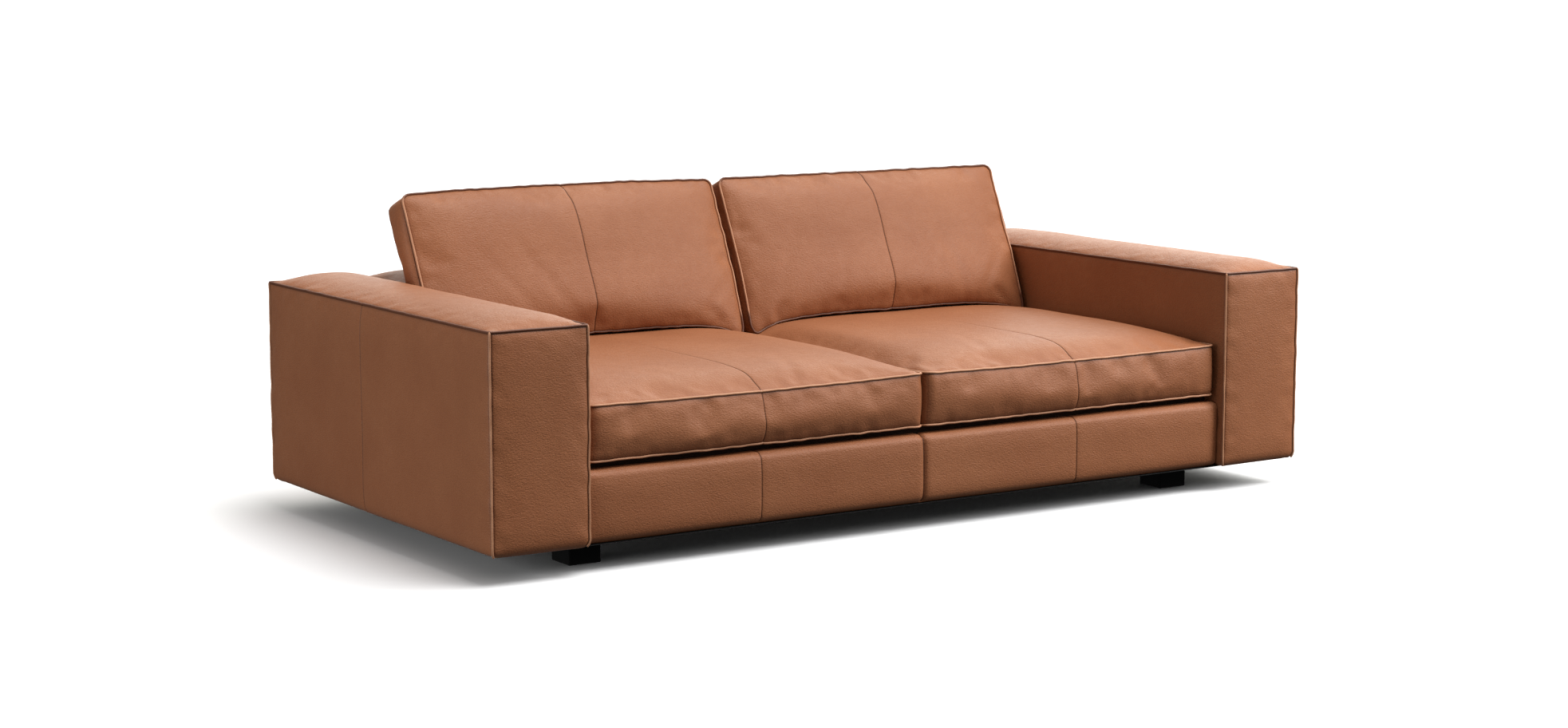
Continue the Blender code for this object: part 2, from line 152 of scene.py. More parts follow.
# Deck, dust sheet and zips
DECK_STEP = 0.020
DECK_EDGE = 0.006
DECK_LOWER_EDGE = 0.003
DECK_WAVE, DECK_WAVE_LENGTH, DECK_WAVE_REACH = 0.0008, 0.22, 0.05
DECK_GROOVE, DECK_GROOVE_WIDTH = 0.004, 0.010
DUST_STEP = 0.020
DUST_HEM = 0.020
DUST_SAG, DUST_SAG_REACH = 0.004, 0.30
DUST_HELD = 0.16  # round each foot
DUST_WAVE, DUST_WAVE_LENGTH = 0.2, 0.5
DUST_THICKNESS = 0.0006
STAPLE_PITCH = 0.060
STAPLE_MARGIN = 0.05  # from a corner to the first staple
STAPLE_HALF = 0.0055
STAPLE_WIRE = (0.0004, 0.0004, 0.0003)
STAPLE_PROUD = 0.0001
ZIP_PROUD = 0.0006
ZIP_TAPE_THICKNESS = 0.0012
ZIP_PITCH = 0.0025
TOOTH_WIDTH, TOOTH_HALF_DEPTH, TOOTH_HALF_HEIGHT = 0.36, 0.0005, 0.0013  # width in pitches
TOOTH_OFFSET, TOOTH_PROUD = 0.0008, 0.0003
SLIDER_INSET, SLIDER_PROUD, SLIDER_HALF = 0.012, 0.0016, (0.0045, 0.0013, 0.0040)
PULL_OFFSET, PULL_HALF = (0.013, 0.0022, -0.001), (0.0100, 0.0005, 0.0022)

# Studio
CAMERA_LENS = 67.626
CAMERA_PLACE = (-4.1906, -6.3022, 1.4117)
CAMERA_TURN = (math.radians(81.964), 0.0, math.radians(-33.418))
FLOOR_SIZE = 600.0
KEY_DIRECTION, KEY_SPREAD, KEY_POWER = (0.25, -0.29, 0.90), 40.0, 3.05
FILL_SIZE = 2.0
RIGHT_FILL_PLACE, RIGHT_FILL_AIM, RIGHT_FILL_POWER = (3.2, -2.6, 2.2), (0.7, 0.0, 0.3), 110.0
LEFT_FILL_PLACE, LEFT_FILL_AIM, LEFT_FILL_POWER = (-4.5, -0.5, 0.6), (-1.2, 0.0, 0.3), 62.0
WORLD_AROUND = 0.12
WORLD_OVERHEAD = 0.35
WORLD_OVERHEAD_POWER = 1.5
WORLD_HORIZON = (-0.15, 0.05)  # between these heights the light behind comes in
WORLD_BEHIND = 3.1
WORLD_BEHIND_POWER = 6.0
WORLD_BEHIND_DIRECTION = (0.740, 0.621, 0.259)
WORLD_BEHIND_COLOUR = (1.0, 1.0, 0.92, 1.0)


# ------------ number fields


def ripple(points, wavelength, seed):
    """An uneven field between about -1 and 1, from a few waves in different directions."""
    random = np.random.default_rng(seed)
    total = np.zeros(len(points))
    for _ in range(RIPPLES):
        direction = random.normal(size=3)
        direction /= np.linalg.norm(direction)
        length = wavelength * random.uniform(0.7, 1.5)
        phase = random.uniform(0, 2 * math.pi)
        total += np.sin(points @ direction * (2 * math.pi / length) + phase)
    return total / math.sqrt(RIPPLES)


def hump(distance, width):
    """1 at no distance, falling smoothly to nothing a few widths away."""
    return np.exp(-((distance / width) ** 2))


def swell(distance, reach):
    """0 at a seam, rising in a round curve to 1 at the reach and beyond."""
    return 1 - (1 - np.clip(distance / reach, 0, 1)) ** SWELL_POWER


def cubic_weights(t):
    """The shares of four neighbours in a smooth curve, t of the way between the middle two."""
    return (
        -0.5 * t + t**2 - 0.5 * t**3,
        1 - 2.5 * t**2 + 1.5 * t**3,
        0.5 * t + 2 * t**2 - 1.5 * t**3,
        -0.5 * t**2 + 0.5 * t**3,
    )


def read_grid(values, places):
    """The values of a grid of vectors at fractional places in it."""
    size = np.array(values.shape[:3])
    cell = np.minimum(places.astype(int), size - 2)
    shares = [cubic_weights(places[:, axis] - cell[:, axis]) for axis in range(3)]
    total = np.zeros((len(places), 3))
    for taps in itertools.product(range(4), repeat=3):
        at = np.clip(cell + np.array(taps) - 1, 0, size - 1)
        share = shares[X][taps[X]] * shares[Y][taps[Y]] * shares[Z][taps[Z]]
        total += share[:, None] * values[at[:, X], at[:, Y], at[:, Z]]
    return total


# ------------ closed skins


def loops(low, high, step, radius, seams=()):
    """Where the mesh loops lie from low to high: even steps, closer at the ends and seams."""
    fine = {low + radius * share for share in ARC_LOOPS}
    fine |= {high - radius * share for share in ARC_LOOPS}
    fine |= {seam + sign * loop for seam in seams for loop in SEAM_LOOPS for sign in (-1, 1)}
    even = np.linspace(low, high, max(2, round((high - low) / step)) + 1)
    near = np.array(sorted(fine))
    kept = {value for value in even if np.abs(near - value).min() > step * 0.35}
    return np.array(sorted(fine | kept))


class Skin:
    """The six sides of a box as one closed grid of quads, ready to be bent into a piece."""

    def __init__(self, *axes):
        shape = tuple(len(axis) for axis in axes)
        outside = np.zeros(shape, bool)
        for axis in range(3):
            for end in (LOW, HIGH):
                outside[(slice(None),) * axis + (end,)] = True
        self.index = np.full(shape, -1)
        self.index[outside] = np.arange(outside.sum())
        self.cells = np.argwhere(outside)
        self.points = np.stack([axes[a][self.cells[:, a]] for a in range(3)], 1)
        self.low = np.array([axis[0] for axis in axes])
        self.high = np.array([axis[-1] for axis in axes])
        self.depth = np.minimum(self.points - self.low, self.high - self.points)
        sides = []
        for axis in range(3):
            for end in (LOW, HIGH):
                grid = np.take(self.index, end, axis)
                corners = (grid[:-1, :-1], grid[1:, :-1], grid[1:, 1:], grid[:-1, 1:])
                quads = np.stack(corners, -1).reshape(-1, 4)
                turned = (end == LOW) != (axis == Y)
                sides.append(quads[:, ::-1] if turned else quads)
        self.quads = np.concatenate(sides)

    def on(self, axis, end):
        """Which points lie on the low or the high side along an axis."""
        last = self.index.shape[axis] - 1
        return self.cells[:, axis] == (0 if end == LOW else last)

    def bulge(self, axis, end, height, reach=math.inf):
        """How far one side swells: nothing along its edges, the full height from a reach inwards.

        reach is one length, or one for each direction of the side. Half the side is the most.
        """
        share = self.on(axis, end) * height
        others = [other for other in range(3) if other != axis]
        halves = (self.high - self.low)[others] / 2
        for other, limit in zip(others, np.minimum(reach, halves)):
            share = share * swell(self.depth[:, other], limit)
        return share

    def edge_distance(self):
        """How far each point is from the nearest edge of its side."""
        return np.sort(self.depth, axis=1)[:, 1]

    def rim(self, axis, end):
        """The points along the four edges of a side, in order round it."""
        grid = np.take(self.index, end, axis)
        return np.concatenate([grid[:-1, 0], grid[-1, :-1], grid[:0:-1, -1], grid[0, :0:-1]])


def box_skin(low, high, step, radius, seams=()):
    """The skin of a box whose seams cross it from front to rear."""
    across = loops(low[X], high[X], step, radius, seams)
    return Skin(across, *(loops(low[axis], high[axis], step, radius) for axis in (Y, Z)))


def rounded(skin, corner, upper, lower):
    """The skin with round corners in plan, and round edges along its upper and its lower side."""
    points = skin.points.copy()
    low, high = skin.low[:2], skin.high[:2]
    margin = np.minimum(max(corner, upper, lower), (high - low) / 2)
    out = points[:, :2] - np.clip(points[:, :2], low + margin, high - margin)
    length = np.linalg.norm(out, axis=1, keepdims=True) + 1e-12
    outward = out / length

    inner = np.clip(points[:, :2], low + corner, high - corner)
    beyond = points[:, :2] - inner
    widest = np.abs(beyond).max(axis=1, keepdims=True)
    reach = np.linalg.norm(beyond, axis=1, keepdims=True) + 1e-12
    points[:, :2] = inner + beyond * widest / reach

    inset = np.minimum(skin.depth[:, X], skin.depth[:, Y])
    for radius, drop, sign in (
        (upper, skin.high[Z] - skin.points[:, Z], 1),
        (lower, skin.points[:, Z] - skin.low[Z], -1),
    ):
        across, along = radius - inset, radius - drop
        near = (across > 0) & (along > 0)
        scale = np.maximum(across, along) / (np.hypot(across, along) + 1e-12)
        shift = np.where(near, across * scale - across, 0.0)
        points[:, :2] += outward * shift[:, None]
        points[:, Z] += np.where(near, sign * (along * scale - along), 0.0)
    return points


def normals(points, quads):
    """The outward direction at each point of a closed grid."""
    corner = [points[quads[:, i]] for i in range(4)]
    faces = np.cross(corner[2] - corner[0], corner[3] - corner[1])
    total = np.zeros_like(points)
    for i in range(4):
        np.add.at(total, quads[:, i], faces)
    return total / (np.linalg.norm(total, axis=1, keepdims=True) + 1e-12)


def finish_surface(skin, points, seams, piped, seed):
    """Adds waves, puckers and seams to a skin that has its shape, and finds its painted crease
    shade.

    seams lists (axis, place, shown) of each seam across panels, where shown is 1 at the points it
    crosses, and piped is how near each point is to a piped edge, in metres. Returns the points
    and the painted shade in the creases, darkest along the seam grooves and beside the pipings.
    """
    out = normals(points, skin.quads)
    edge = skin.edge_distance()
    strength = WAVE_AT_EDGE + (1 - WAVE_AT_EDGE) * swell(edge, WAVE_REACH)
    field = WAVE * ripple(points, WAVE_LENGTH, seed) * strength
    gathered = hump(piped - PUCKER_PLACE, PUCKER_REACH)
    field += PUCKER * ripple(points, PUCKER_LENGTH, seed + 1) * gathered
    field -= GUTTER_DEPTH * hump(piped - GUTTER_PLACE, GUTTER_WIDTH)
    # Painted shade beside a piping, mostly on the border below it where the ridge's shadow falls,
    # and along each seam groove
    shade_share = np.where(skin.on(Z, HIGH), TOP_GUTTER_SHADE, 1.0)
    crease_shade = GUTTER_SHADE * shade_share * hump(piped - GUTTER_SHADE_PLACE, GUTTER_SHADE_WIDTH)
    for axis, place, shown in seams:
        distance = np.abs(skin.points[:, axis] - place)
        field -= shown * SEAM_DIP * hump(distance, SEAM_DIP_WIDTH)
        field -= shown * SEAM_CUT * hump(distance, SEAM_CUT_WIDTH)
        crease_shade = np.maximum(crease_shade, shown * hump(distance, SEAM_SHADE_WIDTH))
    return points + out * field[:, None], crease_shade


# ------------ objects


def placed(name, data):
    """A new object in the scene."""
    obj = bpy.data.objects.new(name, data)
    bpy.context.scene.collection.objects.link(obj)
    return obj


def cad_box(name):
    """The low and the high corner of a CAD node."""
    return (np.array(corner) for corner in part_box(name))


def mesh_object(name, points, faces, material, body):
    """A smooth mesh piece that rides on a body."""
    mesh = bpy.data.meshes.new(name)
    mesh.from_pydata(np.asarray(points).tolist(), [], [list(face) for face in faces])
    mesh.shade_smooth()
    mesh.materials.append(material)
    obj = placed(name, mesh)
    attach(obj, body)
    return obj


def leather_object(name, skin, points, crease_shade, body, replaced):
    """A leather-covered padded piece with its painted crease shade stored for the material."""
    obj = mesh_object(name, points, skin.quads.tolist(), LEATHER, body)
    stored = obj.data.attributes.new("crease_shade", "FLOAT", "POINT")
    stored.data.foreach_set("value", crease_shade.astype(np.float32))
    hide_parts(*replaced)
    return obj


def piping(name, points, out, body, closed=True, finish=None):
    """The thin rolled edge of leather along a sewn corner."""
    curve = bpy.data.curves.new(name, "CURVE")
    curve.dimensions = "3D"
    curve.bevel_depth = PIPING_RADIUS
    curve.bevel_resolution = 2
    curve.use_fill_caps = True
    spline = curve.splines.new("POLY")
    spline.points.add(len(points) - 1)
    for point, place in zip(spline.points, points + out * PIPING_PROUD):
        point.co = (*place, 1.0)
    spline.use_cyclic_u = closed
    spline.use_smooth = True
    curve.materials.append(finish or PIPING)
    obj = placed(name, curve)
    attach(obj, body)
    return obj


def pipe_edges(name, skin, points, body, rims=(), uprights=(), rim_finish=None):
    """Pipings along whole rims (axis, end) and along upright corners (end in x, end in y)."""
    out = normals(points, skin.quads)
    for axis, end in rims:
        path = skin.rim(axis, end)
        place = "lower" if end == LOW else "upper"
        piping(f"{name}_{place}_piping", points[path], out[path], body, finish=rim_finish)
    for x_end, y_end in uprights:
        path = skin.index[x_end, y_end, :]
        place = f"{'left' if x_end == LOW else 'right'}_{'front' if y_end == LOW else 'rear'}"
        piping(f"{name}_{place}_piping", points[path], out[path], body, closed=False)


# ------------ materials


class Tree:
    """A node tree, written as short calls."""

    def __init__(self, owner):
        owner.use_nodes = True
        self.tree = owner.node_tree

    def add(self, kind, **settings):
        node = self.tree.nodes.new(kind)
        for key, value in settings.items():
            setattr(node, key, value)
        return node

    def feed(self, value, socket):
        if isinstance(value, bpy.types.NodeSocket):
            self.tree.links.new(value, socket)
        else:
            socket.default_value = value

    def math(self, operation, first, second=0.0):
        node = self.add("ShaderNodeMath", operation=operation)
        self.feed(first, node.inputs[0])
        self.feed(second, node.inputs[1])
        return node.outputs[0]

    def ramp(self, value, low, high, to_low=0.0, to_high=1.0, **settings):
        node = self.add("ShaderNodeMapRange", **settings)
        self.feed(value, node.inputs["Value"])
        limits = {"From Min": low, "From Max": high, "To Min": to_low, "To Max": to_high}
        for key, limit in limits.items():
            node.inputs[key].default_value = limit
        return node.outputs["Result"]


class Nodes(Tree):
    """A material's node tree."""

    def __init__(self, name, rough, metallic=0.0):
        self.material = bpy.data.materials.new(name)
        super().__init__(self.material)
        self.shader = self.tree.nodes["Principled BSDF"]
        self.shader.inputs["Roughness"].default_value = rough
        self.shader.inputs["Metallic"].default_value = metallic
        self.place = self.add("ShaderNodeTexCoord").outputs["Object"]

    def stretched(self, scale):
        """The place in the object, stretched by a scale for each axis."""
        node = self.add("ShaderNodeMapping")
        self.feed(self.place, node.inputs["Vector"])
        node.inputs["Scale"].default_value = scale
        return node.outputs["Vector"]

    def noise(self, scale, detail=2.0, roughness=0.5, place=None):
        node = self.add("ShaderNodeTexNoise")
        self.feed(place or self.place, node.inputs["Vector"])
        for key, value in (("Scale", scale), ("Detail", detail), ("Roughness", roughness)):
            node.inputs[key].default_value = value
        return node.outputs["Fac"]

    def cells(self, scale, feature="F1", place=None):
        node = self.add("ShaderNodeTexVoronoi", feature=feature)
        self.feed(place or self.place, node.inputs["Vector"])
        node.inputs["Scale"].default_value = scale
        return node.outputs["Distance"]

    def mix(self, share, first, second, blend="MIX"):
        node = self.add("ShaderNodeMix", data_type="RGBA", blend_type=blend)
        self.feed(share, node.inputs["Factor"])
        for value, socket in ((first, node.inputs[6]), (second, node.inputs[7])):
            self.feed(value if isinstance(value, bpy.types.NodeSocket) else (*value, 1.0), socket)
        return node.outputs[2]

    def bump(self, height, distance, strength=1.0, normal=None):
        node = self.add("ShaderNodeBump")
        self.feed(height, node.inputs["Height"])
        node.inputs["Distance"].default_value = distance
        node.inputs["Strength"].default_value = strength
        if normal is not None:
            self.feed(normal, node.inputs["Normal"])
        return node.outputs["Normal"]

    def done(self, colour, roughness=None, normal=None):
        self.feed(colour, self.shader.inputs["Base Color"])
        if roughness is not None:
            self.feed(roughness, self.shader.inputs["Roughness"])
        if normal is not None:
            self.feed(normal, self.shader.inputs["Normal"])
        return self.material


TAN = (0.328, 0.122, 0.051)
TAN_LIGHT = (0.363, 0.143, 0.063)
TAN_DARK = (0.273, 0.094, 0.038)
# The piping is the same leather as the panels: these two lighter tones paint the highlight on its
# ridge
PIPE_HIGHLIT = (0.460, 0.210, 0.110)
PIPE_HIGHLIGHT = (0.540, 0.270, 0.150)
# These two darker tones paint the shade on the piping along the top rims
PIPE_SHADE = (0.130, 0.045, 0.022)
PIPE_SOFT_SHADE = (0.160, 0.058, 0.029)
BACK_PIPING_LIGHT = (0.440, 0.800)  # the heights between which it gets a painted highlight; outside them, painted shade
# painted shade for the seam grooves and the gutters beside the pipings
CREASE_SHADE_TONE = (0.060, 0.020, 0.009)
FOOT_DARK, FOOT_LIGHT = (0.0010, 0.0010, 0.0010), (0.0026, 0.0024, 0.0022)
TIMBER_DARK, TIMBER_LIGHT = (0.42, 0.27, 0.14), (0.62, 0.44, 0.26)
FOAM_DARK, FOAM_LIGHT = (0.52, 0.46, 0.30), (0.80, 0.75, 0.58)
STEEL_DARK, STEEL_LIGHT = (0.55, 0.54, 0.50), (0.68, 0.68, 0.68)
DECK_DARK, DECK_LIGHT = (0.072, 0.038, 0.023), (0.090, 0.048, 0.030)
DUST_DARK, DUST_LIGHT = (0.006, 0.006, 0.006), (0.020, 0.020, 0.020)
WEBBING_DARK, WEBBING_LIGHT = (0.035, 0.030, 0.026), (0.150, 0.125, 0.100)
TAPE_DARK, TAPE_LIGHT = (0.045, 0.020, 0.010), (0.110, 0.052, 0.030)


def leather_material():
    """Tan leather with a fine pebble grain, soft mottling, and painted shade in the creases at
    the seams and beside the pipings.
    """
    nodes = Nodes("tan leather", 0.46)
    nodes.shader.inputs["Specular IOR Level"].default_value = 0.28
    broad = nodes.noise(5.0, 3.0, 0.55)
    fine = nodes.noise(42.0, 3.0, 0.6)
    colour = nodes.mix(nodes.ramp(broad, 0.32, 0.68), TAN_DARK, TAN_LIGHT)
    colour = nodes.mix(0.55, colour, TAN)
    colour = nodes.mix(nodes.ramp(fine, 0.35, 0.7, 0.0, 0.22), colour, TAN_DARK)
    grain_place = nodes.stretched((0.8, 0.8, 1.5))
    pebbles = nodes.cells(300.0, "SMOOTH_F1", grain_place)
    wrinkles = nodes.noise(190.0, 4.0, 0.65, grain_place)
    colour = nodes.mix(nodes.ramp(pebbles, 0.35, 0.75, 0.0, 0.40), colour, TAN_DARK)
    # Painted shade: the crease attribute mixes the colour towards a dark tone
    crease_shade = nodes.add("ShaderNodeAttribute", attribute_name="crease_shade").outputs["Fac"]
    colour = nodes.mix(crease_shade, colour, CREASE_SHADE_TONE)
    raised = nodes.math("MULTIPLY", wrinkles, 1.2)
    height = nodes.math("SUBTRACT", raised, nodes.math("MULTIPLY", pebbles, 0.8))
    normal = nodes.bump(height, 0.0011, 0.70)
    normal = nodes.bump(nodes.noise(28.0, 3.0, 0.5), 0.004, 0.20, normal)
    roughness = nodes.ramp(nodes.math("ADD", fine, wrinkles), 0.6, 1.4, 0.40, 0.56)
    return nodes.done(colour, roughness, normal)


def piping_material(name, dark, light, heights=None):
    """Leather rolled over a cord, with painted light and shade in its tones. Outside a range of
    heights, painted shade.
    """
    nodes = Nodes(name, 0.44)
    nodes.shader.inputs["Specular IOR Level"].default_value = 0.35
    tone = nodes.noise(30.0, 3.0, 0.6)
    colour = nodes.mix(nodes.ramp(tone, 0.3, 0.7), dark, light)
    if heights is not None:
        # Painted shade outside the heights, painted highlight between them
        split = nodes.add("ShaderNodeSeparateXYZ")
        nodes.feed(nodes.place, split.inputs[0])
        low, high = heights
        colour = nodes.mix(nodes.ramp(split.outputs[Z], low, low + 0.02), PIPE_SHADE, colour)
        colour = nodes.mix(nodes.ramp(split.outputs[Z], high - 0.02, high), colour, PIPE_SHADE)
    normal = nodes.bump(nodes.noise(400.0, 2.0), 0.0004, 0.5)
    return nodes.done(colour, nodes.ramp(tone, 0.3, 0.7, 0.40, 0.52), normal)


def wood_material(name, dark, light, along, rough, shine=0.5):
    """Wood with its grain along one axis."""
    nodes = Nodes(name, rough)
    nodes.shader.inputs["Specular IOR Level"].default_value = shine
    scale = [1.0, 1.0, 1.0]
    scale[along] = 0.06
    place = nodes.stretched(tuple(scale))
    rings = nodes.noise(45.0, 4.0, 0.6, place)
    pores = nodes.noise(420.0, 2.0, 0.7, place)
    colour = nodes.mix(nodes.ramp(rings, 0.35, 0.65), dark, light)
    colour = nodes.mix(nodes.ramp(pores, 0.55, 0.75, 0.0, 0.5), colour, dark)
    normal = nodes.bump(pores, 0.0006, 0.35)
    return nodes.done(colour, nodes.ramp(rings, 0.3, 0.7, rough - 0.05, rough + 0.08), normal)


def weave_material(name, dark, light, pitch, rough=0.85):
    """Woven threads that cross at a pitch."""
    nodes = Nodes(name, rough)
    split = nodes.add("ShaderNodeSeparateXYZ")
    nodes.feed(nodes.place, split.inputs[0])
    waves = [
        nodes.math("SINE", nodes.math("MULTIPLY", split.outputs[axis], 2 * math.pi / pitch))
        for axis in (X, Y, Z)
    ]
    flat_weave = nodes.math("MULTIPLY", waves[X], waves[Y])
    across = nodes.math("ADD", flat_weave, nodes.math("MULTIPLY", waves[Z], 0.5))
    lint = nodes.noise(160.0, 3.0, 0.6)
    colour = nodes.mix(nodes.ramp(across, -1.0, 1.0), dark, light)
    colour = nodes.mix(nodes.ramp(lint, 0.45, 0.75, 0.0, 0.4), colour, light)
    normal = nodes.bump(across, pitch / 4, 0.6)
    return nodes.done(colour, nodes.ramp(lint, 0.3, 0.7, rough - 0.07, rough + 0.07), normal)


def foam_material():
    """Pale open-cell foam."""
    nodes = Nodes("foam", 0.95)
    holes = nodes.cells(420.0)
    colour = nodes.mix(nodes.ramp(holes, 0.0, 0.6), FOAM_DARK, FOAM_LIGHT)
    return nodes.done(colour, None, nodes.bump(holes, 0.0015, 0.6))


def steel_material():
    """Zinc-plated steel with faint blotches."""
    nodes = Nodes("zinc-plated steel", 0.32, 1.0)
    blotch = nodes.noise(90.0, 3.0, 0.6)
    colour = nodes.mix(nodes.ramp(blotch, 0.35, 0.65), STEEL_DARK, STEEL_LIGHT)
    roughness = nodes.ramp(blotch, 0.3, 0.7, 0.25, 0.42)
    return nodes.done(colour, roughness, nodes.bump(blotch, 0.0003, 0.3))


def floor_material():
    """A plain matt white floor."""
    nodes = Nodes("studio floor", 1.0)
    nodes.shader.inputs["Specular IOR Level"].default_value = 0.0
    return nodes.done((0.90, 0.90, 0.90, 1.0))


LEATHER = leather_material()
# Painted light on the pipings: lighter tones for a painted highlight, darker tones for painted
# shade
PIPING = piping_material("leather piping", PIPE_HIGHLIT, PIPE_HIGHLIGHT)
BACK_PIPING = piping_material("leather piping, painted light by height", PIPE_HIGHLIT, PIPE_HIGHLIGHT, BACK_PIPING_LIGHT)
SHADED_PIPING = piping_material("leather piping in painted shade", PIPE_SHADE, PIPE_SOFT_SHADE)
TIMBER = wood_material("plain timber", TIMBER_DARK, TIMBER_LIGHT, X, 0.68)
FOOT_WOOD = wood_material("black stained wood", FOOT_DARK, FOOT_LIGHT, X, 0.50, 0.12)
FOAM = foam_material()
DECK_CLOTH = weave_material("deck cloth", DECK_DARK, DECK_LIGHT, 0.0016)
DUST_CLOTH = weave_material("black non-woven cloth", DUST_DARK, DUST_LIGHT, 0.0009, 0.9)
WEBBING = weave_material("elastic webbing", WEBBING_DARK, WEBBING_LIGHT, 0.0030)
ZIP_TAPE = weave_material("zip tape", TAPE_DARK, TAPE_LIGHT, 0.0010)
STEEL = steel_material()


def dress_cad_nodes():
    """Gives each CAD node that stays in view a material with the detail of the real one."""
    finishes = {
        "foot_bolt": STEEL,
        "arm_bolt": STEEL,
        "foot_block": TIMBER,
        "foot": FOOT_WOOD,
        "board": TIMBER,
        "rail": TIMBER,
        "panel": TIMBER,
        "strap": WEBBING,
        "padding": FOAM,
        "core": FOAM,
    }
    for name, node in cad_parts.items():
        for word, finish in finishes.items():
            if word in name:
                node.data.materials.clear()
                node.data.materials.append(finish)
                break


# ------------ fixed upholstery


def arm(side, word):
    """A box arm: crowned top panel, piped round the top and down its corners."""
    low, high = cad_box(f"{word}_arm_cover")
    outer = LOW if side < 0 else HIGH
    inner = HIGH if side < 0 else LOW
    panel_seam = low[Y] + ARM_PANEL_SEAM
    skin = Skin(
        loops(low[X], high[X], ARM_STEP, SEAM_RADIUS),
        loops(low[Y], high[Y], ARM_STEP, SEAM_RADIUS, [panel_seam]),
        loops(low[Z], ARM_TOP_SEAM, ARM_STEP, SEAM_RADIUS),
    )
    points = rounded(skin, SEAM_RADIUS, SEAM_RADIUS, SOFT_RADIUS)
    points[:, Z] += skin.bulge(Z, HIGH, ARM_CROWN, ARM_CROWN_REACH)
    points[:, X] += side * skin.bulge(X, outer, FACE_BULGE, FACE_REACH)
    points[:, X] -= side * skin.bulge(X, inner, INNER_BULGE, FACE_REACH)
    points[:, Y] -= skin.bulge(Y, LOW, FACE_BULGE, FACE_REACH)
    points[:, Y] += skin.bulge(Y, HIGH, FACE_BULGE, FACE_REACH)

    upright = np.hypot(skin.depth[:, X], skin.depth[:, Y])
    rim = np.minimum(skin.depth[:, X], skin.depth[:, Y])
    below = skin.high[Z] - skin.points[:, Z]
    piped = np.where(skin.on(Z, HIGH), rim, np.minimum(upright, below))
    seams = [(Y, panel_seam, skin.on(X, outer))]
    points, crease_shade = finish_surface(skin, points, seams, piped, 10 + side)
    name = f"{word}_arm_leather"
    replaced = (f"{word}_arm_cover", f"{word}_arm_padding")
    leather_object(name, skin, points, crease_shade, "frame", replaced)
    corners = [(x, y) for x in (LOW, HIGH) for y in (LOW, HIGH)]
    # Painted shade on the top-rim piping; the upright pipings keep the painted highlight
    pipe_edges(f"{word}_arm", skin, points, "frame", [(Z, HIGH)], corners, SHADED_PIPING)


def front_rail():
    """The padded front of the base, one panel high, with seams at its middle and its quarters."""
    low, high = cad_box("front_rail_cover")
    quarter = high[X] / 2
    places = (-quarter, 0.0, quarter)
    skin = Skin(
        loops(low[X], high[X], ARM_STEP, SEAM_RADIUS, places),
        loops(low[Y], high[Y] + RAIL_OVERLAP, ARM_STEP, RAIL_TOP_RADIUS),
        loops(low[Z], high[Z], ARM_STEP, RAIL_TOP_RADIUS),
    )
    points = rounded(skin, RAIL_CORNER, RAIL_TOP_RADIUS, SOFT_RADIUS)
    points[:, Y] -= skin.bulge(Y, LOW, FACE_BULGE, RAIL_FACE_REACH)
    groove = RAIL_GROOVE * hump(skin.points[:, X], RAIL_GROOVE_WIDTH)
    points[:, Y] += groove * skin.on(Y, LOW)
    points[:, Z] -= groove * skin.on(Z, HIGH)
    shown = skin.on(Y, LOW) | skin.on(Z, HIGH)
    seams = [(X, place, shown) for place in places]
    not_piped = np.full(len(points), 1.0)
    points, crease_shade = finish_surface(skin, points, seams, not_piped, 20)
    replaced = ("front_rail_cover", "front_rail_padding")
    leather_object("front_rail_leather", skin, points, crease_shade, "frame", replaced)


def back_frame():
    """The low back between the arms, whose rear panel runs down to the bottom of the base."""
    low, high = cad_box("back_cover")
    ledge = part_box("deck_pad")[1].z + LEDGE_GAP
    skirt_front = high[Y] - SKIRT_THICKNESS
    heights = loops(low[Z], BACK_TOP_SEAM, ARM_STEP, SEAM_RADIUS)
    kept = [z for z in heights if abs(z - ledge) > 5 * LEDGE_STEP]
    heights = np.array(sorted([*kept, ledge - LEDGE_STEP, ledge]))
    skin = Skin(
        loops(low[X], high[X], ARM_STEP, SEAM_RADIUS, [0.0]),
        loops(low[Y], high[Y], ARM_STEP, SEAM_RADIUS),
        heights,
    )
    points = rounded(skin, SEAM_RADIUS, SEAM_RADIUS, SKIRT_EDGE)
    points[:, Z] += skin.bulge(Z, HIGH, BACK_CROWN, BACK_CROWN_REACH)
    points[:, Y] += skin.bulge(Y, HIGH, FACE_BULGE, BACK_FACE_REACH)
    below = skin.points[:, Z] < ledge - LEDGE_STEP / 2
    share = np.minimum((points[:, Y] - low[Y]) / (high[Y] - low[Y]), 1.0)
    skirt = skirt_front + share * SKIRT_THICKNESS + np.maximum(points[:, Y] - high[Y], 0.0)
    points[:, Y] = np.where(below, skirt, points[:, Y])

    top_rim = np.minimum(skin.depth[:, X], skin.depth[:, Y])
    piped = np.where(skin.on(Z, HIGH), top_rim, skin.high[Z] - skin.points[:, Z])
    seams = [(X, 0.0, skin.on(Y, HIGH))]
    points, crease_shade = finish_surface(skin, points, seams, piped, 30)
    replaced = ("back_cover", "back_padding")
    leather_object("back_leather", skin, points, crease_shade, "frame", replaced)
    # Painted shade on the top-rim piping
    pipe_edges("back", skin, points, "frame", [(Z, HIGH)], rim_finish=SHADED_PIPING)


def deck():
    """The cloth-covered pad over the webbing, which the seat cushions lie on."""
    low, high = cad_box("deck_pad")
    skin = box_skin(low, high, DECK_STEP, DECK_EDGE, [0.0])
    points = rounded(skin, DECK_EDGE, DECK_EDGE, DECK_LOWER_EDGE)
    wave = DECK_WAVE * ripple(skin.points, DECK_WAVE_LENGTH, 60)
    wave = wave * swell(skin.edge_distance(), DECK_WAVE_REACH)
    groove = DECK_GROOVE * hump(skin.points[:, X], DECK_GROOVE_WIDTH)
    points[:, Z] += skin.on(Z, HIGH) * (wave - groove)
    obj = mesh_object("deck_cloth", points, skin.quads.tolist(), DECK_CLOTH, "frame")
    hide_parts("deck_pad")


